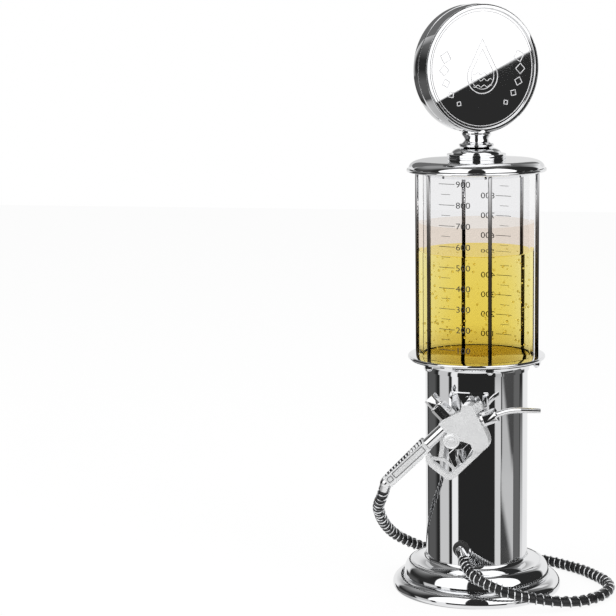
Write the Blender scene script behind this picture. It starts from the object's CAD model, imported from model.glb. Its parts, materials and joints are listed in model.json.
import bmesh
import bpy
import math
import numpy as np
from mathutils import Matrix, Vector
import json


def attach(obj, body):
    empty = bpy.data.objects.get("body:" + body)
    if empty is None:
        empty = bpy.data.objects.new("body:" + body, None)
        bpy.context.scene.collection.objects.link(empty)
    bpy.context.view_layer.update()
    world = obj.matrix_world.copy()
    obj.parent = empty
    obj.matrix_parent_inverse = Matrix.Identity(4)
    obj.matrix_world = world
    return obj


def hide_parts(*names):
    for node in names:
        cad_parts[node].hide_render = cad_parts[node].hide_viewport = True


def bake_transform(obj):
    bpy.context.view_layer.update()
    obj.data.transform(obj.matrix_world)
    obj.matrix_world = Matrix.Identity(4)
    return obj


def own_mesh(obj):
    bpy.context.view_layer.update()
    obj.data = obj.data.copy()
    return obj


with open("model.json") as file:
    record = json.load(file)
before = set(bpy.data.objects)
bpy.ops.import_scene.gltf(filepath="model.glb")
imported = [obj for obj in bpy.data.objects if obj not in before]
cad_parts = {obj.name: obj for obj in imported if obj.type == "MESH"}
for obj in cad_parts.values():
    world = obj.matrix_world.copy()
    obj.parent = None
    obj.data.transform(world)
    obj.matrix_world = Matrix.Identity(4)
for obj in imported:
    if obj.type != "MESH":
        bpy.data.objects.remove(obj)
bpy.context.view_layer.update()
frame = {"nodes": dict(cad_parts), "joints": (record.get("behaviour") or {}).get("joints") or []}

scene = bpy.context.scene
nodes = frame["nodes"]

# ---- Camera ----
# A long lens, a little above the sign's middle, looks slightly down at the dispenser
# from the front and a few degrees to its right.
picture_px = 616
lens_px = 1958.5
film_mm = 36
camera_at = (0.24982, -1.59493, 0.48987)
turn = math.radians(13.8755)
pitch = math.radians(8.814)
roll = math.radians(-0.7648)
look = Vector((-math.sin(turn) * math.cos(pitch), math.cos(turn) * math.cos(pitch), -math.sin(pitch)))
level = Vector((math.cos(turn), math.sin(turn), 0))
above = level.cross(look)
right = level * math.cos(roll) + above * math.sin(roll)
upward = above * math.cos(roll) - level * math.sin(roll)
camera = bpy.data.objects.new("camera", bpy.data.cameras.new("camera"))
camera.data.sensor_width = film_mm
camera.data.lens = film_mm * lens_px / picture_px
camera.data.clip_start = 0.05
camera.matrix_world = Matrix((
    (right.x, upward.x, -look.x, camera_at[0]),
    (right.y, upward.y, -look.y, camera_at[1]),
    (right.z, upward.z, -look.z, camera_at[2]),
    (0, 0, 0, 1)))
scene.collection.objects.link(camera)
scene.camera = camera
scene.view_settings.view_transform = "Standard"


# ---- Hose ----
# A black rubber hose runs from the elbow low on the column, round the front and back of
# the base on the table, and up to the nozzle. It is extruded, and pushed on barbs.
def surface(name, points, faces, sharp=35):
    """An object at the origin from points in millimetres and a list of faces, shaded
    smooth except where two faces meet at more than the sharp angle, in degrees."""
    mesh = bpy.data.meshes.new(name)
    mesh.from_pydata((np.asarray(points, float) / 1000).tolist(), [], faces)
    mesh.polygons.foreach_set("use_smooth", [True] * len(mesh.polygons))
    mesh.set_sharp_from_angle(angle=math.radians(sharp))
    mesh.validate()
    piece = bpy.data.objects.new(name, mesh)
    scene.collection.objects.link(piece)
    return piece


def grid_faces(rows, columns, wrap=False, strip=False):
    """Quads between the neighbouring points of a grid. Its columns close round, except in
    a strip, and wrap closes the rows round too. Cell (i, j) joins its four corner numbers."""
    i, j = np.meshgrid(np.arange(rows if wrap else rows - 1),
                       np.arange(columns - 1 if strip else columns), indexing="ij")
    i2, j2 = (i + 1) % rows, (j + 1) % columns
    corners = np.stack([i * columns + j, i * columns + j2, i2 * columns + j2, i2 * columns + j], -1)
    return corners.reshape(-1, 4).tolist()


def smooth_line(points, steps):
    """A curve through all points: between neighbours it is the cubic whose slope at
    each point is half the way from the one before to the one after."""
    p = np.asarray(points, float)
    p = np.vstack([2 * p[0] - p[1], p, 2 * p[-1] - p[-2]])
    t = np.linspace(0, 1, steps, endpoint=False)[:, None]
    a, b, c, d = p[:-3, None], p[1:-2, None], p[2:-1, None], p[3:, None]
    line = 0.5 * (2 * b + (c - a) * t + (2 * a - 5 * b + 4 * c - d) * t**2
                  + (3 * b - a - 3 * c + d) * t**3)
    return np.vstack([line.reshape(-1, p.shape[1]), p[-2]])


def evenly(line, count):
    """The same line with count points at equal distances along it, and its length."""
    run = np.concatenate([[0], np.cumsum(np.linalg.norm(np.diff(line, axis=0), axis=1))])
    at = np.linspace(0, run[-1], count)
    return np.stack([np.interp(at, run, line[:, k]) for k in range(line.shape[1])], 1), run[-1]


def side_vectors(line, first):
    """Unit vectors square to a line, carried along it with the least twist: each one is
    the one before it, less its share along the new heading."""
    heading = np.gradient(line, axis=0)
    heading /= np.linalg.norm(heading, axis=1)[:, None]
    side = np.empty_like(line)
    u = np.asarray(first, float)
    for k, h in enumerate(heading):
        u = u - (u @ h) * h
        u /= np.linalg.norm(u)
        side[k] = u
    return heading, side, np.cross(heading, side)


def pipe(name, line, radius, sides=20, first=(0, 0, 1), sharp=40):
    """A closed pipe: a circle of the given radius, one number or one for each point, is
    carried along the line square to its heading, and each end is closed by a flat face."""
    line = np.asarray(line, float)
    heading, side, other = side_vectors(line, first)
    a = np.arange(sides) * 2 * np.pi / sides
    r = np.broadcast_to(np.asarray(radius, float), len(line))[:, None, None]
    spoke = np.cos(a)[:, None] * side[:, None] + np.sin(a)[:, None] * other[:, None]
    points = line[:, None] + r * spoke
    faces = grid_faces(len(line), sides)
    faces.append(list(range(sides))[::-1])
    faces.append(list(range((len(line) - 1) * sides, len(line) * sides)))
    return surface(name, points.reshape(-1, 3), faces, sharp)


hose_radius = 3.8
hose_route = [
    (-2.6, -51, 38.4), (0.6, -57.5, 33.4), (6, -64, 29.4), (14, -69, 25.6), (24, -72, 21.8), (36, -73, 18),
    (49, -70, 14.4), (62, -64, 10.9), (76, -56, 7.5), (90, -46, 5.4), (102, -33, 5), (110, -17, 5),
    (112, 0, 5), (107, 17, 5), (97, 32, 5), (85, 46, 5), (70, 58, 5), (53, 69, 5), (35, 77, 5),
    (16, 82, 5), (-4, 83, 5), (-23, 81, 5), (-41, 75, 7), (-56, 66, 12), (-68, 54, 20),
    (-77, 39, 30), (-81, 22, 41), (-82, 5, 52), (-81, -11, 62), (-79, -26, 71), (-75.5, -38, 79),
    (-71.5, -46.5, 86.5), (-68, -53, 95)]
hose_points = 700
hose_line, hose_length = evenly(smooth_line(hose_route, 24), hose_points)
hose = pipe("hose_tube", hose_line, hose_radius)
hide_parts("hose")


def shader_of(name, **values):
    """A material of one Principled shader; each value goes on the socket of that name,
    with the words' spaces written as underlines."""
    material = bpy.data.materials.new(name)
    material.use_nodes = True
    shader = material.node_tree.nodes["Principled BSDF"]
    for socket, value in values.items():
        shader.inputs[socket.replace("_", " ")].default_value = value
    return material, material.node_tree, shader


def new_group(name, inputs, outputs):
    """An empty shader group with named number sockets; returns it with its two ends."""
    group = bpy.data.node_groups.new(name, "ShaderNodeTree")
    for label, start in inputs:
        socket = group.interface.new_socket(label, in_out="INPUT", socket_type="NodeSocketFloat")
        socket.default_value = start
    for label in outputs:
        group.interface.new_socket(label, in_out="OUTPUT", socket_type="NodeSocketFloat")
    return group, group.nodes.new("NodeGroupInput"), group.nodes.new("NodeGroupOutput")


# Handled surface: cloudy wipe marks change the gloss, and a finer grain lifts it a little.
handled, ends_in, ends_out = new_group(
    "handled", [("Cloud", 60), ("Low", 0.03), ("High", 0.08), ("Grain", 900)],
    ["Roughness", "Height"])
place = handled.nodes.new("ShaderNodeTexCoord")
cloud = handled.nodes.new("ShaderNodeTexNoise")
cloud.inputs["Detail"].default_value = 4
spread = handled.nodes.new("ShaderNodeMapRange")
spread.inputs["From Min"].default_value = 0.35
spread.inputs["From Max"].default_value = 0.7
grain = handled.nodes.new("ShaderNodeTexNoise")
grain.inputs["Detail"].default_value = 2
handled.links.new(place.outputs["Object"], cloud.inputs["Vector"])
handled.links.new(place.outputs["Object"], grain.inputs["Vector"])
handled.links.new(ends_in.outputs["Cloud"], cloud.inputs["Scale"])
handled.links.new(ends_in.outputs["Grain"], grain.inputs["Scale"])
handled.links.new(cloud.outputs["Fac"], spread.inputs["Value"])
handled.links.new(ends_in.outputs["Low"], spread.inputs["To Min"])
handled.links.new(ends_in.outputs["High"], spread.inputs["To Max"])
handled.links.new(spread.outputs["Result"], ends_out.inputs["Roughness"])
handled.links.new(grain.outputs["Fac"], ends_out.inputs["Height"])


def handle(tree, shader, cloud, low, high, grain, depth):
    """Puts the handled surface on a shader: gloss from low to high, grain as a bump of
    the given depth in metres."""
    marks = tree.nodes.new("ShaderNodeGroup")
    marks.node_tree = handled
    for label, value in (("Cloud", cloud), ("Low", low), ("High", high), ("Grain", grain)):
        marks.inputs[label].default_value = value
    bump = tree.nodes.new("ShaderNodeBump")
    bump.inputs["Distance"].default_value = depth
    bump.inputs["Strength"].default_value = 1
    tree.links.new(marks.outputs["Roughness"], shader.inputs["Roughness"])
    tree.links.new(marks.outputs["Height"], bump.inputs["Height"])
    tree.links.new(bump.outputs["Normal"], shader.inputs["Normal"])


def paint(material, *names):
    """Gives a material to new pieces or to CAD nodes, by object or name."""
    for one in names:
        piece = nodes[one] if isinstance(one, str) else one
        if not piece.material_slots:
            piece.data.materials.append(None)
        for one_slot in piece.material_slots:
            one_slot.material = material


hose_rubber, tree, shader = shader_of(
    "hose_rubber", Base_Color=(0.012, 0.012, 0.013, 1), Specular_IOR_Level=0.45)
handle(tree, shader, 220, 0.3, 0.5, 2600, 0.00004)
paint(hose_rubber, hose)

# ---- Spring round the hose ----
# One long spring of plated steel wire guards the hose against kinks. Its curls stand
# further apart along the loops than at the two ends.
wire_radius = 0.55
wire_slack = 0.1
curl_radius = hose_radius + wire_radius + wire_slack
steps_per_curl = 16
way_along = [0, 25, 45, 65, 85, 105, 150, 190, 230, 300, 340, 400, 430, 490, 512, 532]
curl_pitch = [3.7, 4.4, 4.9, 5.6, 7.2, 8.8, 8.6, 7.2, 6.2, 6.2, 6.2, 6.8, 7.6, 7.6, 6.8, 6.0]
along = np.linspace(0, 1, hose_points)
pitch_mm = np.interp(along * hose_length, way_along, curl_pitch)
curls = np.concatenate([[0], np.cumsum(0.5 * (1 / pitch_mm[1:] + 1 / pitch_mm[:-1]))])
curls *= hose_length / (hose_points - 1)
wire_turn = np.linspace(0, curls[-1], int(curls[-1] * steps_per_curl))
wire_at = np.interp(wire_turn, curls, along * (hose_points - 1))
heading, side, other = side_vectors(hose_line, (0, 0, 1))


def at_wire(rows):
    """The hose's rows of three values, read between its points at each point of the wire."""
    return np.stack([np.interp(wire_at, np.arange(hose_points), rows[:, k]) for k in range(3)], 1)


curl = 2 * np.pi * wire_turn[:, None]
outward = np.cos(curl) * at_wire(side) + np.sin(curl) * at_wire(other)
spring = pipe("hose_guard_spring", at_wire(hose_line) + curl_radius * outward, wire_radius, sides=8,
              first=(0, 1, 0))
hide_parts("hose_spring")
for piece in (hose, spring):
    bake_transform(piece)

chrome, tree, shader = shader_of("chrome", Base_Color=(0.9, 0.905, 0.915, 1), Metallic=1.0)
handle(tree, shader, 55, 0.02, 0.05, 800, 0.0000006)
wire_chrome, tree, shader = shader_of("wire_chrome", Base_Color=(0.88, 0.89, 0.9, 1), Metallic=1.0)
handle(tree, shader, 300, 0.12, 0.22, 3000, 0.000004)
paint(wire_chrome, spring)

# ---- Table, light and studio round the object ----
# A pale table under soft light from the left, the right and above. The plating mirrors a
# studio with white boxes in front and dark cloths between them.
def sums(tree, operation, *values):
    """A Math node of that operation; a value is a number or another node's output."""
    node = tree.nodes.new("ShaderNodeMath")
    node.operation = operation
    for k, value in enumerate(values):
        if isinstance(value, (int, float)):
            node.inputs[k].default_value = value
        else:
            tree.links.new(value, node.inputs[k])
    return node.outputs[0]


def seen_ray(tree):
    """The node that tells rays apart, and a socket that is 1 for a ray from the camera or
    through clear plastic and 0 for any other."""
    rays = tree.nodes.new("ShaderNodeLightPath")
    return rays, sums(tree, "MAXIMUM", rays.outputs["Is Camera Ray"], rays.outputs["Is Transmission Ray"])


def bare_material(name):
    """A material without a shader, with its tree and the socket where one goes."""
    material = bpy.data.materials.new(name)
    material.use_nodes = True
    tree = material.node_tree
    tree.nodes.remove(tree.nodes["Principled BSDF"])
    return material, tree, tree.nodes["Material Output"].inputs["Surface"]


table_reach = 3000
table_glow = 0.93
table = surface("table", [(-table_reach, -table_reach, 0), (table_reach, -table_reach, 0),
                          (table_reach, table_reach, 0), (-table_reach, table_reach, 0)], [[0, 1, 2, 3]])
table.visible_glossy = False
table_top, tree, finish_at = bare_material("table_top")
matt = tree.nodes.new("ShaderNodeBsdfDiffuse")
matt.inputs["Color"].default_value = (0.86, 0.86, 0.86, 1)
bright = tree.nodes.new("ShaderNodeEmission")
both = tree.nodes.new("ShaderNodeMixShader")
rays, seen = seen_ray(tree)
tree.links.new(sums(tree, "MULTIPLY", seen, table_glow), both.inputs["Fac"])
tree.links.new(matt.outputs[0], both.inputs[1])
tree.links.new(bright.outputs[0], both.inputs[2])
tree.links.new(both.outputs[0], finish_at)
paint(table_top, table)

# A cloth or a box of the studio: 1 inside a range of directions, round and above the
# object, in degrees, and 0 outside, with soft edges. Tilt lifts its foot to one side.
panel, ends_in, ends_out = new_group(
    "panel", [("Round", 0), ("Above", 0), ("Left", -10), ("Right", 10), ("Low", -10), ("High", 10),
              ("Tilt", 0), ("Soft", 1)], ["Mask"])


def rise(tree, value, edge, soft):
    """0 below an edge and 1 above it, with a straight slope of the soft width between."""
    step = sums(tree, "DIVIDE", sums(tree, "SUBTRACT", value, edge), soft)
    clamp = tree.nodes.new("ShaderNodeClamp")
    tree.links.new(sums(tree, "ADD", step, 0.5), clamp.inputs[0])
    return clamp.outputs[0]


of = ends_in.outputs
lift = sums(panel, "MULTIPLY", of["Tilt"], sums(panel, "SUBTRACT", of["Round"], of["Left"]))
foot_edge = sums(panel, "ADD", of["Low"], lift)
inside = sums(panel, "MULTIPLY", rise(panel, of["Round"], of["Left"], of["Soft"]),
              rise(panel, of["Right"], of["Round"], of["Soft"]))
inside = sums(panel, "MULTIPLY", inside, rise(panel, of["Above"], foot_edge, of["Soft"]))
inside = sums(panel, "MULTIPLY", inside, rise(panel, of["High"], of["Above"], of["Soft"]))
panel.links.new(inside, ends_out.inputs["Mask"])

world = bpy.data.worlds.new("studio")
scene.world = world
world.use_nodes = True
tree = world.node_tree
way = tree.nodes.new("ShaderNodeTexCoord")
parts = tree.nodes.new("ShaderNodeSeparateXYZ")
tree.links.new(way.outputs["Generated"], parts.inputs[0])
# A ray's direction, as degrees round the object from the side where the camera stands,
# and as degrees above the level.
front = math.radians(9)
across = sums(tree, "ADD", sums(tree, "MULTIPLY", parts.outputs[0], math.cos(front)),
              sums(tree, "MULTIPLY", parts.outputs[1], math.sin(front)))
ahead = sums(tree, "SUBTRACT", sums(tree, "MULTIPLY", parts.outputs[0], math.sin(front)),
             sums(tree, "MULTIPLY", parts.outputs[1], math.cos(front)))
round_deg = sums(tree, "MULTIPLY", sums(tree, "ARCTAN2", across, ahead), 180 / math.pi)
above_deg = sums(tree, "MULTIPLY", sums(tree, "ARCSINE", parts.outputs[2]), 180 / math.pi)


def studio(light, left, right, low, high, shade, tilt, soft):
    """The studio's light with one more panel of the given shade laid over it."""
    mask = tree.nodes.new("ShaderNodeGroup")
    mask.node_tree = panel
    tree.links.new(round_deg, mask.inputs["Round"])
    tree.links.new(above_deg, mask.inputs["Above"])
    for label, value in (("Left", left), ("Right", right), ("Low", low), ("High", high),
                         ("Tilt", tilt), ("Soft", soft)):
        mask.inputs[label].default_value = value
    keep = sums(tree, "MULTIPLY", light, sums(tree, "SUBTRACT", 1, mask.outputs[0]))
    return sums(tree, "ADD", keep, sums(tree, "MULTIPLY", mask.outputs[0], shade))


room_shade = 0.86
light = sums(tree, "ADD", room_shade, 0)
for panel_values in (
        # left, right, low, high, shade, tilt, soft
        (-400, 400, 25, 120, 0.36, 0, 12),          # the ceiling all round
        (-400, 400, 40, 120, 0.09, 0, 16),          # its darker middle
        (-132, 128, -14, 64, 0.025, 0, 6),          # black cloth round the front
        (-175, -97, 24, 100, 0.32, 0, 34),          # a grey haze above it on the left
        (-180, -100, -75, -24, 0.4, 0, 14),         # a grey floor behind on the left
        (-68, -15, -7, 72, 1.25, 0, 2),             # the white box on the left
        (16, 73, -24.85, 68, 1.25, 0.537, 0.06),    # the white box on the right, its foot aslant
        # What follows lies low, where only the column and the base mirror it.
        (-147, 117, -25, -6.5, 0.02, 0, 1.5),       # black cloth
        (-140, -104, -25, -6.5, 0.1, 0, 10),        # the column's dark left edge
        (-91, -65, -25, -6.5, 0.6, 0, 3),           # its grey stripe on the left
        (-57, -42, -25, -6.5, 0.9, 0, 2),           # its white stripe on the left
        (42, 57, -25, -10.4, 0.68, 0, 2),           # its pale stripe on the right
        (60, 92, -15.2, -10.4, 0.5, 0.02, 1),       # the grey board beside that
        (61, 92, -10.9, -8, 0.07, -0.095, 0.7),     # a dark slanting edge above the board
        (56, 92, -30, -13.8, 0.06, 0, 0.6),         # the dark below it
        (58, 92, -14.4, -13.4, 0.55, -0.06, 0.7),   # a pale line between the two
        (93, 114, -25, -6.5, 0.13, 0, 3)):          # the column's dark right edge
    light = studio(light, *panel_values)
mirrored = tree.nodes.new("ShaderNodeCombineColor")
for k in range(3):
    tree.links.new(light, mirrored.inputs[k])
# The camera sees white behind the object, the soft light is grey, and plating mirrors the
# panels.
rays, seen = seen_ray(tree)
plain = tree.nodes.new("ShaderNodeMix")
plain.data_type = "RGBA"
plain.inputs["A"].default_value = (0.62, 0.62, 0.62, 1)
plain.inputs["B"].default_value = (1, 1, 1, 1)
tree.links.new(seen, plain.inputs["Factor"])
final = tree.nodes.new("ShaderNodeMix")
final.data_type = "RGBA"
tree.links.new(sums(tree, "SUBTRACT", rays.outputs["Is Glossy Ray"], rays.outputs["Is Transmission Ray"]),
               final.inputs["Factor"])
tree.links.new(plain.outputs["Result"], final.inputs["A"])
tree.links.new(mirrored.outputs[0], final.inputs["B"])
tree.links.new(final.outputs["Result"], tree.nodes["Background"].inputs["Color"])

# Two pale boards behind the lid, and a dark one above them: only the lid's top mirrors them.
board_back = 600
for name, left, right, low, high, shade in (
        ("left_board", -500, -110, 384, 540, 0.62), ("right_board", -110, 330, 384, 540, 0.76),
        ("high_board", -900, 160, 540, 1100, 0.15)):
    board = surface(name, [(left, board_back, low), (right, board_back, low), (right, board_back, high),
                           (left, board_back, high)], [[0, 1, 2, 3]])
    board.visible_camera = board.visible_diffuse = False
    board.visible_transmission = board.visible_shadow = False
    board_look, tree, finish_at = bare_material(name)
    glow = tree.nodes.new("ShaderNodeEmission")
    glow.inputs["Color"].default_value = (shade, shade, shade, 1)
    tree.links.new(glow.outputs[0], finish_at)
    paint(board_look, board)

# Three soft lamps, aimed at the middle of the column; the plating mirrors the studio only.
aim = Vector((0, 0, 0.2))
for name, lamp_at, size, power in (
        ("left_box", (-1.5, -1.4, 1.5), 1.2, 26), ("right_box", (1.7, -1.1, 1.3), 1.0, 15),
        ("top_box", (0, 0.3, 2.2), 1.6, 16)):
    lamp = bpy.data.objects.new(name, bpy.data.lights.new(name, "AREA"))
    lamp.data.energy = power
    lamp.data.size = size
    lamp.location = lamp_at
    lamp.rotation_euler = (aim - Vector(lamp_at)).to_track_quat("-Z", "Y").to_euler()
    lamp.visible_glossy = False
    scene.collection.objects.link(lamp)


# ---- Base ----
# A spun steel base of two rounded tiers, chromed, with a sweep up to the column. A steel
# ballast disc lies inside, and a plate with a rubber ring closes it from below.
def bow(x, z, rx, rz, start, end, count=12):
    """Points of an elliptical arc round (x, z), from angle start to angle end."""
    a = np.radians(np.linspace(start, end, count + 1))
    return np.stack([x + rx * np.cos(a), z + rz * np.sin(a)], 1).tolist()


def moved(points, place):
    """Points turned and shifted by a matrix."""
    return points @ np.array(place.to_3x3()).T + np.array(place.translation)


def turned(name, outline, steps=240, sharp=28, place=None):
    """A turned piece: each outline point (radius, height) in millimetres goes once round
    the Z axis. An outline that starts and ends on the axis gets one point at each pole;
    another one is a closed loop. It is put in the order that runs up its outside, so that
    the faces point outwards. Place is a matrix that moves the finished points."""
    outline = np.asarray(outline, float)
    x, z = outline.T
    if (x * np.roll(z, -1) - np.roll(x, -1) * z).sum() < 0:
        outline = outline[::-1]
    poles = outline[0, 0] == 0 and outline[-1, 0] == 0
    rim = outline[1:-1] if poles else outline
    a = np.arange(steps) * 2 * np.pi / steps
    x, y, z = rim[:, :1] * np.cos(a), rim[:, :1] * np.sin(a), np.repeat(rim[:, 1:], steps, 1)
    points = np.stack([x, y, z], -1).reshape(-1, 3)
    faces = grid_faces(len(rim), steps, wrap=not poles)
    if poles:
        top = len(points)
        points = np.vstack([points, [0, 0, outline[0, 1]], [0, 0, outline[-1, 1]]])
        last = (len(rim) - 1) * steps
        faces += [[top, (k + 1) % steps, k] for k in range(steps)]
        faces += [[top + 1, last + k, last + (k + 1) % steps] for k in range(steps)]
    if place is not None:
        points = moved(points, place)
    return surface(name, points, faces, sharp)


base_outline = (
    [(68.6, 0.6)] + bow(68.6, 4.5, 2, 3.9, -80, 0, 8) + bow(61.6, 4.5, 9, 7.4, 8, 90, 24)
    + [(61.5, 11.9), (61.2, 11.4), (61, 11.2), (60.6, 11.2), (60.6, 12.2)]
    + bow(54, 12.9, 7, 11.5, 0, 84, 26) + [(54.5, 24.4), (54.3, 24.0), (54, 23.8), (53.6, 23.8)]
    + bow(53.6, 29.2, 10.8, 4.9, 268, 182, 24)
    + [(42.8, 29.4), (42.6, 29.4), (42.6, 23.4), (38, 23.4), (38, 20.4), (53, 20.4), (56.5, 16.9),
       (59, 12.9), (59, 9.2), (61.6, 9.2), (66.4, 7.4), (68.6, 4.5), (68, 0.6)])
base = turned("base_cover", base_outline, 300)
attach(base, "stand")
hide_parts("base_shell")
paint(chrome, base)

bare_steel, tree, shader = shader_of("bare_steel", Base_Color=(0.42, 0.43, 0.44, 1), Metallic=1.0)
handle(tree, shader, 90, 0.3, 0.5, 1500, 0.00001)
foot_rubber, tree, shader = shader_of("foot_rubber", Base_Color=(0.02, 0.02, 0.02, 1))
handle(tree, shader, 150, 0.55, 0.75, 2500, 0.00002)
paint(bare_steel, "base_ballast", "base_plate", "plate_screws", "clamp_rods", "clamp_nuts")
paint(foot_rubber, "foot_ring")

# ---- Column ----
# A thin chromed steel tube, 85 mm across. It stands in the base and in the collar, and
# three rods inside it clamp the three together.
column_outside, column_inside = 42.5, 41.3
column_foot, column_top = 23.4, 188
column = turned("column_cover", [(column_outside, column_foot), (column_outside, column_top),
                                 (column_inside, column_top), (column_inside, column_foot)], 360)
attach(column, "stand")
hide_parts("column_tube")
paint(chrome, column)

# ---- Collar and top ring ----
# Two turned and plated rings hold the canister: the collar closes the column's top, and
# the ring lies on the canister. Six rods with domed nuts pull them together; their steel
# is toned darker at the drink, which they mirror.
wall_inside, wall_outside = 43.4, 47.6
groove_room = 0.3
groove_in, groove_out = wall_inside - groove_room, wall_outside + groove_room
collar_outline = (
    [(41.2, 188), (44, 188), (44, 190.5)] + bow(48.2, 190.5, 4.2, 5.8, 180, 90, 14)
    + [(55.2, 196.3), (55.2, 197.3), (56.2, 197.3)] + bow(56.2, 198.65, 0.8, 1.35, -90, 90, 12)
    + [(groove_out, 200), (groove_out, 198.6), (groove_in, 198.6), (groove_in, 200), (42.1, 200),
       (11, 198.6), (10, 197.4), (6, 197.4), (6, 194.3), (37.7, 194.3), (40, 192.3), (40, 182),
       (41.2, 182)])
collar = turned("collar_ring", collar_outline)
ring_outline = (
    [(42.4, 352.7), (groove_in, 352.7), (groove_in, 354.1), (groove_out, 354.1), (groove_out, 352.7),
     (56.7, 352.7)]
    + bow(56.7, 353.95, 0.8, 1.25, -90, 90, 12) + [(42.4, 355.2)])
top_ring = turned("canister_ring", ring_outline)
for piece, node in ((collar, "collar"), (top_ring, "top_ring")):
    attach(piece, "stand")
    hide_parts(node)
    paint(chrome, piece)
rod_circle, rod_radius = 51.9, 1.6
rod_foot, rod_top = 197.6, 353
first_rod_deg = 21
rod_outline = [(0, rod_foot), (rod_radius, rod_foot), (rod_radius, rod_top - 0.4),
               (rod_radius - 0.2, rod_top), (0, rod_top)]
rods = []
for k, a in enumerate(np.radians(first_rod_deg + 60 * np.arange(6))):
    rod_place = Matrix.Translation((rod_circle * math.sin(a), -rod_circle * math.cos(a), 0))
    rods.append(turned(f"rod_{k + 1}", rod_outline, 24, place=rod_place))
for rod in rods:
    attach(rod, "stand")
    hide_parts("tie_rods")


def tint_by_height(tree, low_m, high_m, stops):
    """A colour that changes with the height on the object. Each stop gives its share of
    the way from low to high, in metres, and the colour there; returns the socket."""
    where = tree.nodes.new("ShaderNodeTexCoord")
    split = tree.nodes.new("ShaderNodeSeparateXYZ")
    height = tree.nodes.new("ShaderNodeMapRange")
    height.inputs["From Min"].default_value = low_m
    height.inputs["From Max"].default_value = high_m
    tint = tree.nodes.new("ShaderNodeValToRGB")
    ramp = tint.color_ramp.elements
    ramp[0].color = (*stops[0][1], 1)
    ramp[1].color = (*stops[-1][1], 1)
    for at, colour in stops[1:-1]:
        ramp.new(at).color = (*colour, 1)
    tree.links.new(where.outputs["Object"], split.inputs[0])
    tree.links.new(split.outputs[2], height.inputs["Value"])
    tree.links.new(height.outputs["Result"], tint.inputs["Fac"])
    return tint.outputs["Color"]


rod_steel, tree, shader = shader_of("rod_steel", Metallic=1.0)
handle(tree, shader, 90, 0.05, 0.1, 900, 0.000001)
rod_tint = tint_by_height(tree, 0.28, 0.35, [
    (0, (0.05, 0.04, 0.025)), (0.45, (0.13, 0.12, 0.115)), (1, (0.78, 0.78, 0.79))])
tree.links.new(rod_tint, shader.inputs["Base Color"])
paint(rod_steel, *rods)
paint(chrome, "acorn_nuts")
gasket_rubber, tree, shader = shader_of("gasket_rubber", Base_Color=(0.02, 0.02, 0.02, 1))
handle(tree, shader, 150, 0.5, 0.7, 2500, 0.00001)
paint(gasket_rubber, "lower_gasket", "upper_gasket", "lid_seal", "valve_seal")

# ---- Canister ----
# A clear tube of acrylic, cut to length and polished at both ends. It stands in a groove
# of each ring, on a rubber gasket.
canister_foot, canister_top = 199.6, 353.1
canister = turned("canister_tube", [(wall_inside, canister_foot), (wall_inside, canister_top),
                                    (wall_outside, canister_top), (wall_outside, canister_foot)], 300)
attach(canister, "stand")
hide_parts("canister")
acrylic, tree, shader = shader_of(
    "acrylic", Base_Color=(0.92, 0.92, 0.925, 1), Transmission_Weight=1.0, IOR=1.02)
handle(tree, shader, 30, 0.0, 0.015, 400, 0.0000004)
paint(acrylic, canister)

# ---- Drink ----
# Beer-coloured drink up to about 550 on the scale, darker near the floor, with rising
# bubbles and a wet film on the wall above it. Both reach into the wall, nearly to its
# outside, because a wall of real acrylic shows what wets it across its whole width.
drink_top = 286.3
drink_floor = 200.05
wet_radius = 47.3
drink = turned("drink", [(0, drink_top), (40, drink_top), (45.4, drink_top + 0.2), (46.7, drink_top + 0.7),
                         (wet_radius, drink_top + 1.2), (wet_radius, drink_floor + 0.15),
                         (wet_radius - 0.3, drink_floor), (11, drink_floor), (0, drink_floor)], 200)
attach(drink, "stand")
drink_look, tree, shader = shader_of("drink_look", Transmission_Weight=1.0, IOR=1.012, Roughness=0.0)
drink_tint = tint_by_height(tree, 0.2, 0.29, [
    (0, (0.5, 0.33, 0.04)), (0.09, (0.62, 0.42, 0.05)), (0.2, (0.9, 0.68, 0.09)),
    (0.75, (0.94, 0.74, 0.13)), (0.93, (0.95, 0.74, 0.16)), (1, (0.95, 0.75, 0.19))])
# The way through the drink shortens with the cosine of the angle at the wall, and the
# colour is that power of the full tint.
slant = tree.nodes.new("ShaderNodeLayerWeight")
slant.inputs["Blend"].default_value = 0.5
depth = tree.nodes.new("ShaderNodeGamma")
least_way = 0.5
tree.links.new(drink_tint, depth.inputs["Color"])
tree.links.new(sums(tree, "MAXIMUM", sums(tree, "SUBTRACT", 1, slant.outputs["Facing"]), least_way),
               depth.inputs["Gamma"])
tree.links.new(depth.outputs[0], shader.inputs["Base Color"])
paint(drink_look, drink)

film_inside = wet_radius - 0.2
film_foot, film_top = 287.6, 310.5
film = turned("drink_film", [(film_inside, film_foot), (film_inside, film_top), (wet_radius, film_top),
                             (wet_radius, film_foot)], 200)
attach(film, "stand")
film_look, tree, shader = shader_of(
    "film_look", Base_Color=(0.945, 0.89, 0.835, 1), Transmission_Weight=1.0, IOR=1.01, Roughness=0.0)
paint(film_look, film)

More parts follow.
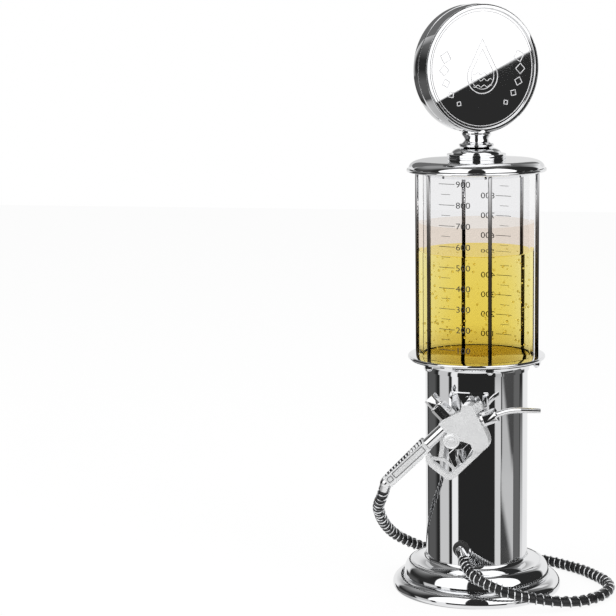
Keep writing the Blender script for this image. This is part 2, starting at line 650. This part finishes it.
# Each bubble is a ball of four rings with eight points and a pole at either end. Most are
# small, and they stand in the outer part of the drink.
bubble_count = 330
draw = np.random.default_rng(7)
bubble_a = draw.uniform(0, 2 * np.pi, bubble_count)
bubble_r = 45.0 * np.sqrt(draw.uniform(0.6, 1, bubble_count))
bubble_z = draw.uniform(206, drink_top - 3, bubble_count)
bubble_size = 0.25 + draw.uniform(0, 1.0, bubble_count) ** 2.2
lat, lon = np.meshgrid(np.radians([-60, -20, 20, 60]), np.arange(8) * np.pi / 4, indexing="ij")
unit_ball = np.stack([np.cos(lat) * np.cos(lon), np.cos(lat) * np.sin(lon), np.sin(lat)], -1)
unit_ball = np.vstack([unit_ball.reshape(-1, 3), [0, 0, -1], [0, 0, 1]])
low_pole, high_pole, last_ring = 32, 33, 24
ball_faces = grid_faces(4, 8)
ball_faces += [[low_pole, (k + 1) % 8, k] for k in range(8)]
ball_faces += [[high_pole, last_ring + k, last_ring + (k + 1) % 8] for k in range(8)]
centres = np.stack([bubble_r * np.cos(bubble_a), bubble_r * np.sin(bubble_a), bubble_z], 1)
balls = (centres[:, None] + bubble_size[:, None, None] * unit_ball).reshape(-1, 3)
faces = [[v + len(unit_ball) * k for v in f] for k in range(bubble_count) for f in ball_faces]
bubbles = surface("drink_bubbles", balls, faces, 80)
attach(bubbles, "stand")
bubble_look, tree, shader = shader_of(
    "bubble_look", Base_Color=(0.93, 0.84, 0.5, 1), Transmission_Weight=1.0, IOR=1.3)
paint(bubble_look, bubbles)

# ---- Scale on the canister ----
# Black marks and numbers screen-printed on the outside, once in front and once behind:
# a long line for each hundred millilitres, a short one for each half, numbers beside.
print_radius = 47.64
mark_bottom = 210.5
mark_step = 16.9
front_scale = math.radians(-13)
back_scale = front_scale + math.radians(181.5)
back_drop = 0.9
letter_stretch = (1.33, 1.14)
letter_gap = 1.1
letter_middle = 2.5


def wrapped(flat_mm, angle):
    """Flat points (x, height) laid round the canister: x is the way along the wall to
    the right of the given angle from the front."""
    a = angle + flat_mm[:, 0] / print_radius
    return np.stack([print_radius * np.sin(a), -print_radius * np.cos(a), flat_mm[:, 1]], 1)


def mark(x0, x1, z, thick):
    """One printed line from x0 to x1 at height z, cut into eight steps round the wall: nine
    points along its lower edge, then nine along its upper one."""
    x = np.linspace(x0, x1, 9)
    edges = np.repeat([z - thick / 2, z + thick / 2], 9)
    return np.stack([np.tile(x, 2), edges], 1)


both_scales, faces = np.empty((0, 3)), []
for angle, drop in ((front_scale, 0), (back_scale, back_drop)):
    for k in range(17):
        whole = k % 2 == 0
        z = mark_bottom + mark_step * k / 2 - drop
        line = mark(-14.5 if whole else -12, 0.3 if whole else -3.5, z, 0.45 if whole else 0.35)
        faces += [[m + v + len(both_scales) for v in (0, 1, 10, 9)] for m in range(8)]
        both_scales = np.concatenate([both_scales, wrapped(line, angle)])
    for k in range(9):
        curve = bpy.data.curves.new("number", "FONT")
        curve.body = str(100 * (k + 1))
        curve.size = 6.2
        curve.align_x = "LEFT"
        curve.resolution_u = 3
        writing = bpy.data.objects.new("number", curve)
        scene.collection.objects.link(writing)
        drawn = writing.evaluated_get(bpy.context.evaluated_depsgraph_get())
        letters = bpy.data.meshes.new_from_object(drawn)
        co = np.array([v.co[:2] for v in letters.vertices])
        co = co * letter_stretch + (letter_gap, mark_bottom + mark_step * k - letter_middle - drop)
        faces += [[v + len(both_scales) for v in p.vertices] for p in letters.polygons]
        both_scales = np.concatenate([both_scales, wrapped(co, angle)])
        bpy.data.objects.remove(writing)
scale_print = surface("scale_print", both_scales, faces)
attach(scale_print, "stand")
ink, tree, shader = shader_of("ink", Base_Color=(0.02, 0.02, 0.02, 1))
handle(tree, shader, 300, 0.4, 0.6, 4000, 0.000001)
paint(ink, scale_print)

# ---- Lid ----
# A spun and chromed steel cap with a rolled edge, and on it the turned foot of the sign.
# It closes the canister with a rubber seal and lifts off with the sign.
lid_outline = (
    [(4.1, 363), (25.3, 363)] + bow(45.9, 355.5, 10, 6.6, 90, 0, 22)[:-1]
    + [(55.9, 355.9), (56.0, 355.6), (55.8, 355.5), (54.4, 355.5)] + bow(45.9, 355.5, 8.5, 5.1, 0, 90, 14)
    + [(47.4, 360.6), (41.9, 361), (41.9, 357.6), (47.4, 357.6), (47.4, 356.6), (41.9, 356.6),
       (41.9, 349.2), (40.4, 349.2), (40.4, 361.5), (4.1, 361.5)])
lid = turned("lid_cap", lid_outline)
foot_outline = (
    [(4.1, 363), (23.7, 363), (24.1, 363.1), (24.3, 363.6), (24.3, 364.6), (23.6, 365), (24.3, 365.4),
     (24.3, 366.4), (24.1, 366.9), (23.7, 367)] + bow(10.3, 367, 10.3, 5.0, 0, 80, 18)
    + [(10.3, 372.8), (4.1, 372.8)])
foot = turned("sign_foot", foot_outline)
for piece, node in ((lid, "lid"), (foot, "stem_foot")):
    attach(piece, "lid")
    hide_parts(node)
    paint(chrome, piece)

# ---- Sign ----
# A hollow drum of two spun shells on a short turned stem. A bolt through the stem lets it
# turn. The mirror face is stamped with raised outlines.
stem_outline = (
    [(4.1, 372.8), (13.2, 372.8)] + bow(13.2, 374, 1.2, 1.2, -90, 90, 14)
    + bow(13.4, 379.2, 3.5, 4.0, 270, 180, 12) + bow(10.4, 384.4, 1.8, 3.4, -70, 90, 14) + [(4.1, 387.8)])
stem = turned("sign_stem_cover", stem_outline, 160)
sign_height = 436.4
sign_yaw = math.radians(38)
upright = Matrix.Rotation(math.radians(90), 4, "X")
sign_place = Matrix.Translation((0, 0, sign_height)) @ Matrix.Rotation(sign_yaw, 4, "Z") @ upright
mirror_back, mirror_front = 9, 10.2
rim_outline = (
    [(52, -2.2)] + bow(51.8, 10.6, 0.2, 0.5, 0, 90, 6) + [(51.5, 10.9), (51.35, 10.1), (51.2, 10.9)]
    + bow(50.9, 11.3, 0.3, 0.4, 0, 88, 6) + bow(48.9, 10.95, 0.75, 0.75, 88, 180, 14)
    + [(48.15, mirror_front), (50.6, mirror_front), (50.8, 9.9), (50.8, -2.2)])
rim = turned("sign_rim", rim_outline, 360, place=sign_place)
drum_outline = [
    (0, -12), (44, -12), (50.6, -12), (51.4, -11.9), (51.9, -11.4), (52, -10.8), (52, -3.3),
    (52.25, -3.15), (52.35, -2.9), (52.25, -2.65), (52, -2.5), (51.7, -2.4), (50.7, -2.7), (50.7, 0.7),
    (49.7, 0.7), (49.7, -10.8), (0, -10.8)]
drum = turned("sign_drum", drum_outline, 400, place=sign_place)
face_outline = [(0, mirror_back), (50.7, mirror_back), (50.7, mirror_front), (0, mirror_front)]
face = turned("sign_mirror", face_outline, 200, place=sign_place)
for piece, node in ((stem, "sign_stem"), (rim, "sign_front_shell"), (drum, "sign_back_shell")):
    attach(piece, "sign")
    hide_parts(node)
    paint(chrome, piece)
mirror, tree, shader = shader_of("mirror", Base_Color=(0.93, 0.93, 0.94, 1), Metallic=1.0)
handle(tree, shader, 25, 0.0, 0.02, 500, 0.0000001)
paint(mirror, face)
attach(face, "sign")
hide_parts("sign_face")


def ridge(line, width, height, profile_deg, closed=True):
    """A low round ridge of the given width and height along a flat line: for each point
    and each angle of its profile, in degrees, the place (x, y) and the height there."""
    line = np.asarray(line, float)
    ahead = np.roll(line, -1, 0) - np.roll(line, 1, 0)
    if not closed:
        ahead[0], ahead[-1] = line[1] - line[0], line[-1] - line[-2]
    out = np.stack([ahead[:, 1], -ahead[:, 0]], 1) / np.linalg.norm(ahead, axis=1)[:, None]
    a = np.radians(profile_deg)
    flat_at = line[:, None] + out[:, None] * (width / 2 * np.cos(a))[:, None]
    high_at = np.broadcast_to(height * np.sin(a), flat_at.shape[:2])
    return np.concatenate([flat_at, high_at[..., None]], -1)


def raised(name, line, width, height, closed=True):
    """A raised line stamped in the sign's face: a ridge along a flat line of points (x, y)."""
    points = ridge(line, width, height, (180, 130, 90, 50, 0), closed) + (0, 0, mirror_front)
    faces = grid_faces(len(line), 5, wrap=closed, strip=True)
    return surface(name, moved(points.reshape(-1, 3), sign_place), faces, 60)


round_line = np.radians(np.linspace(0, 360, 145)[:-1])
circle = np.stack([np.cos(round_line), np.sin(round_line)], 1)
stamped = [raised("stamp_ring", circle * 46.3, 0.7, 0.4)]
# A drop is an arc of radius r and the two lines that touch it from its tip above.
drop_lift = -6
for tag, r, tip, width in (("outer", 14, 30, 0.9), ("inner", 10.5, 22, 0.6)):
    side_a = math.degrees(math.asin(r / tip))
    a = np.radians(np.linspace(180 - side_a, 360 + side_a, 60))
    drop_line = np.vstack([[[0, tip]], np.stack([r * np.cos(a), r * np.sin(a)], 1)]) + (0, drop_lift)
    stamped.append(raised("stamp_drop_" + tag, drop_line, width, 0.5))
for tag, level_y in (("a", -4), ("b", -9), ("c", -14)):
    x = np.linspace(-8.5, 8.5, 30)
    wave_line = np.stack([x, level_y + 0.9 * np.sin(x * 1.1)], 1)
    stamped.append(raised("stamp_wave_" + tag, wave_line, 0.6, 0.4, False))
# Five diamonds on each side stand on a circle round the drop and grow upwards.
diamond_circle = 35.2
for side_tag, side_sign in (("l", -1), ("r", 1)):
    for k in range(5):
        a = math.radians(-90 + side_sign * (38 + 17 * k))
        centre = diamond_circle * np.array([math.cos(a), math.sin(a)])
        corner = a + np.arange(4) * np.pi / 2
        reach = 2.2 + 0.7 * k
        diamond = centre + reach * np.stack([np.cos(corner), np.sin(corner)], 1)
        fine = np.concatenate([np.linspace(diamond[m], diamond[(m + 1) % 4], 6)[:-1] for m in range(4)])
        stamped.append(raised(f"stamp_diamond_{side_tag}{k}", fine, 0.7, 0.5))
stamp_metal, tree, shader = shader_of("stamp_metal", Base_Color=(0.86, 0.86, 0.87, 1), Metallic=0.6)
handle(tree, shader, 200, 0.25, 0.4, 2000, 0.000004)
for piece in stamped:
    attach(piece, "sign")
    paint(stamp_metal, piece)

# ---- Cradle and outlet ----
# A pressed and plated saddle with two ears and a hook is bolted to the column. Lower
# down, a plated elbow comes out through a rubber ring.
paint(chrome, "cradle", "cradle_screws", "outlet_nut")
elbow_radius = 4.3
elbow_line = smooth_line([(-5.4, -36, 43.6), (-6.2, -42.6, 43.4), (-5.9, -46.4, 42.4), (-4.4, -49, 40.4),
                          (-2.4, -51.8, 37.8)], 8)
elbow = pipe("outlet_elbow", elbow_line, elbow_radius, 32)
outlet_yaw = math.radians(-7)
grommet_place = Matrix.Translation((-6.2, -43.4, 43.4)) @ Matrix.Rotation(outlet_yaw, 4, "Z") @ upright
grommet = turned("outlet_ring", bow(4.9, 0, 1.9, 1.7, 0, 345, 22), 72, place=grommet_place)
for piece, node, finish in ((elbow, "outlet_fitting", chrome), (grommet, "outlet_grommet", gasket_rubber)):
    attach(piece, "stand")
    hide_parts(node)
    paint(finish, piece)

# ---- Nozzle body ----
# Two die-cast halves in pearly satin plating, screwed together on a middle seam, with the
# guard cast in one with them. A pin through a round boss carries the trigger.
nozzle_tilt = math.radians(-44)
nozzle_place = Matrix.Translation((-31.3, -57, 134.1)) @ Matrix.Rotation(nozzle_tilt, 4, "Y")
satin, tree, shader = shader_of("satin", Base_Color=(0.86, 0.865, 0.87, 1), Metallic=0.35)
handle(tree, shader, 120, 0.14, 0.24, 1800, 0.000004)


def merged(node):
    """A working copy of a CAD node's mesh, with the points that lie on one another merged."""
    work = bmesh.new()
    work.from_mesh(nodes[node].data)
    bmesh.ops.remove_doubles(work, verts=work.verts, dist=2e-6)
    return work


def eased(node, ease, material, body="nozzle"):
    """A merged copy of a CAD node with its flat faces joined. Each edge sharper than 25
    degrees is cut back by the ease, in millimetres, in two facets."""
    mesh = nodes[node].data.copy()
    work = merged(node)
    bmesh.ops.dissolve_limit(work, angle_limit=math.radians(1.5), verts=work.verts, edges=work.edges)
    corners = [e for e in work.edges if len(e.link_faces) == 2 and e.calc_face_angle() > math.radians(25)]
    bmesh.ops.bevel(work, geom=corners, offset=ease / 1000, segments=2, affect="EDGES", clamp_overlap=True,
                    profile=0.5)
    work.to_mesh(mesh)
    work.free()
    mesh.polygons.foreach_set("use_smooth", [True] * len(mesh.polygons))
    mesh.set_sharp_from_angle(angle=math.radians(18))
    piece = bpy.data.objects.new(node + "_eased", mesh)
    scene.collection.objects.link(piece)
    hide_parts(node)
    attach(piece, body)
    paint(material, piece)
    return piece


for node, ease in (("body_front", 0.55), ("body_back", 0.55), ("grip_front", 0.6), ("grip_back", 0.6)):
    eased(node, ease, satin)
trigger = eased("trigger", 0.3, satin, "trigger")
boss_place = nozzle_place @ Matrix.Translation((18.7, 0, -10.7)) @ upright
boss_outline = [
    (0, -8.1), (5.4, -8.1), (6.2, -7.9), (6.6, -7.3), (6.6, 7.3), (6.2, 7.9), (5.4, 8.1), (3.1, 8.1),
    (2.9, 7.6), (2.5, 7.6), (2.2, 8.2), (0, 8.4)]
boss = turned("trigger_boss", boss_outline, 64, place=boss_place)
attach(boss, "nozzle")
paint(satin, boss)

# ---- Grip ----
# Two cast shells in the same satin plating cover the neck tube. Ribs run across the sloping
# shoulders on both sides of the top ridge, and the flat sides carry a thin frame.
satin_dark, tree, shader = shader_of("satin_dark", Base_Color=(0.06, 0.06, 0.065, 1), Metallic=0.8)
handle(tree, shader, 120, 0.25, 0.4, 1800, 0.000004)


def softened(corners, cut, count):
    """A closed flat line with round corners: each corner is a quadratic curve of count
    points that leaves and meets its edges at the cut, or at 0.46 of a short edge."""
    p = np.asarray(corners, float)
    ends = []
    for shift in (1, -1):
        edge = np.roll(p, shift, 0) - p
        share = np.minimum(cut / np.linalg.norm(edge, axis=1), 0.46)
        ends.append((p + edge * share[:, None])[:, None])
    t = np.linspace(0, 1, count)[None, :, None]
    return ((1 - t) ** 2 * ends[0] + 2 * t * (1 - t) * p[:, None] + t**2 * ends[1]).reshape(-1, 2)


def shoulder(s, u, lift, side_sign):
    """Points on the grip's sloping shoulder, in the nozzle's own millimetres: s along the
    grip, u down the slope, from -1 to 1 across a strip that narrows towards the hose, and
    lift square off it. The strip's middle and half width change straight with s."""
    slope = math.radians(38.3)
    middle = 0.05 - 0.031 * s
    half_width = 2.3 + 0.029 * s
    across = middle + u * half_width
    y = 4.3 + across * math.cos(slope) + lift * math.sin(slope)
    t = 5.5 - across * math.sin(slope) + lift * math.cos(slope)
    points = np.stack(np.broadcast_arrays(s, side_sign * y, t), -1).reshape(-1, 3)
    return moved(points, nozzle_place)


# A rib is a bar with a round back and, by the fourth power of its length, blunt ends.
rib_count = 13
first_rib, rib_pitch = -2.6, 3.2
rib_half_width, rib_rise, rib_lift = 0.8, 0.95, 0.15
rib_u = np.linspace(-0.65, 1.05, 9)
rib_bow = np.sqrt(np.clip(1 - ((rib_u - 0.2) / 0.9) ** 4, 0, 1))[:, None]
rib_a = np.radians([-20, 30, 90, 150, 200])
rib_points = len(rib_u) * len(rib_a)
rib_cell = np.array(grid_faces(len(rib_u), len(rib_a), strip=True))
cells = (rib_cell + rib_points * np.arange(rib_count)[:, None, None]).reshape(-1, 4)
rib_s = (first_rib - rib_pitch * np.arange(rib_count))[:, None, None]
trough_ends = np.array([[-0.6], [-43]])
trough_sides = np.array([-1.12, 1.12])
trough_lift = 0.1
grip_side = 6.2
frame_width, frame_height, frame_corner = 0.5, 0.3, 0.7
for tag, side_sign in (("front", -1), ("back", 1)):
    s_at = rib_s + rib_half_width * np.cos(rib_a) * rib_bow
    points = shoulder(s_at, rib_u[:, None], rib_rise * np.sin(rib_a) * rib_bow + rib_lift, side_sign)
    ribs = surface("grip_ribs_" + tag, points, cells[:, ::-side_sign].tolist(), 60)
    bed = shoulder(trough_ends, trough_sides, trough_lift, side_sign)
    trough = surface("grip_trough_" + tag, bed, [[0, 1, 3, 2] if side_sign > 0 else [0, 2, 3, 1]])
    for part, x0, x1, z0, z1 in (("long", -37.5, -3, -2.6, 2.2), ("small", -44, -39.5, -2.2, 1.8)):
        box_line = softened([(x0, z0), (x1, z0), (x1, z1), (x0, z1)], frame_corner, 4)
        x, z, off = np.moveaxis(ridge(box_line, frame_width, frame_height, (180, 120, 60, 0)), -1, 0)
        points = np.stack([x, side_sign * (grip_side + off), z], -1).reshape(-1, 3)
        quads = np.array(grid_faces(len(box_line), 4, wrap=True, strip=True))[:, ::side_sign]
        frame_line = surface(f"grip_frame_{part}_{tag}", moved(points, nozzle_place), quads.tolist(), 60)
        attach(frame_line, "nozzle")
        paint(satin_dark, frame_line)
    for piece, finish in ((ribs, satin), (trough, satin_dark)):
        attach(piece, "nozzle")
        paint(finish, piece)
paint(satin, "body_screws", "trigger_pin")

# ---- Bonnet and spout ----
# Bright-plated turned and milled fittings: the hexagonal bonnet over the valve, the nut
# that holds the spout, the bent spout, the neck and the swivel at the hose. The trigger
# is plated like them.
plated, tree, shader = shader_of("plated", Base_Color=(0.9, 0.9, 0.905, 1), Metallic=1.0)
handle(tree, shader, 120, 0.06, 0.12, 1800, 0.000002)
for node in ("bonnet", "bonnet_cap", "spout_nut"):
    eased(node, 0.35, plated)
paint(plated, trigger, "spout", "neck_tube", "end_sleeve", "hose_ferrule", "valve_body", "valve_plug")

# ---- Inner pieces ----
# Brass fittings, steel fasteners, the valve's spring and the clear inner hose. The covers
# hide most of them, and all but the spring are shown as the solids have them.
brass, tree, shader = shader_of("brass", Base_Color=(0.78, 0.57, 0.25, 1), Metallic=1.0)
handle(tree, shader, 120, 0.2, 0.35, 1500, 0.000004)
paint(brass, "drain_fitting", "drain_nut", "swivel_washer")
paint(bare_steel, "feed_clips", "stem_bolt", "stem_nut", "sign_nut", "plunger", "spring_cap")
coil_mesh = nodes["valve_spring"].data.copy()
work = merged("valve_spring")
work.to_mesh(coil_mesh)
work.free()
coil_mesh.polygons.foreach_set("use_smooth", [True] * len(coil_mesh.polygons))
coil_mesh.set_sharp_from_angle(angle=math.radians(60))
coil = bpy.data.objects.new("valve_spring_coil", coil_mesh)
scene.collection.objects.link(coil)
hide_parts("valve_spring")
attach(coil, "nozzle")
paint(bare_steel, coil)
# The cap presses the coil together along the plunger's way, towards its fixed end.
slide = next(joint for joint in frame["joints"] if joint["name"] == "plunger_slide")
plunger_way = np.array(slide["axis"])
points = np.array([v.co for v in coil.data.vertices])
reach = points @ plunger_way
points[reach.argmax()].tolist()
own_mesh(coil)
clear_hose, tree, shader = shader_of(
    "clear_hose", Base_Color=(0.9, 0.92, 0.93, 1), Transmission_Weight=0.9, IOR=1.4)
handle(tree, shader, 80, 0.1, 0.2, 1500, 0.000004)
paint(clear_hose, "feed_hose")

# ---- Size note ----
# The boxes of the solids and of the dressed object, in metres, are written out, so that
# the two can be compared.
import json
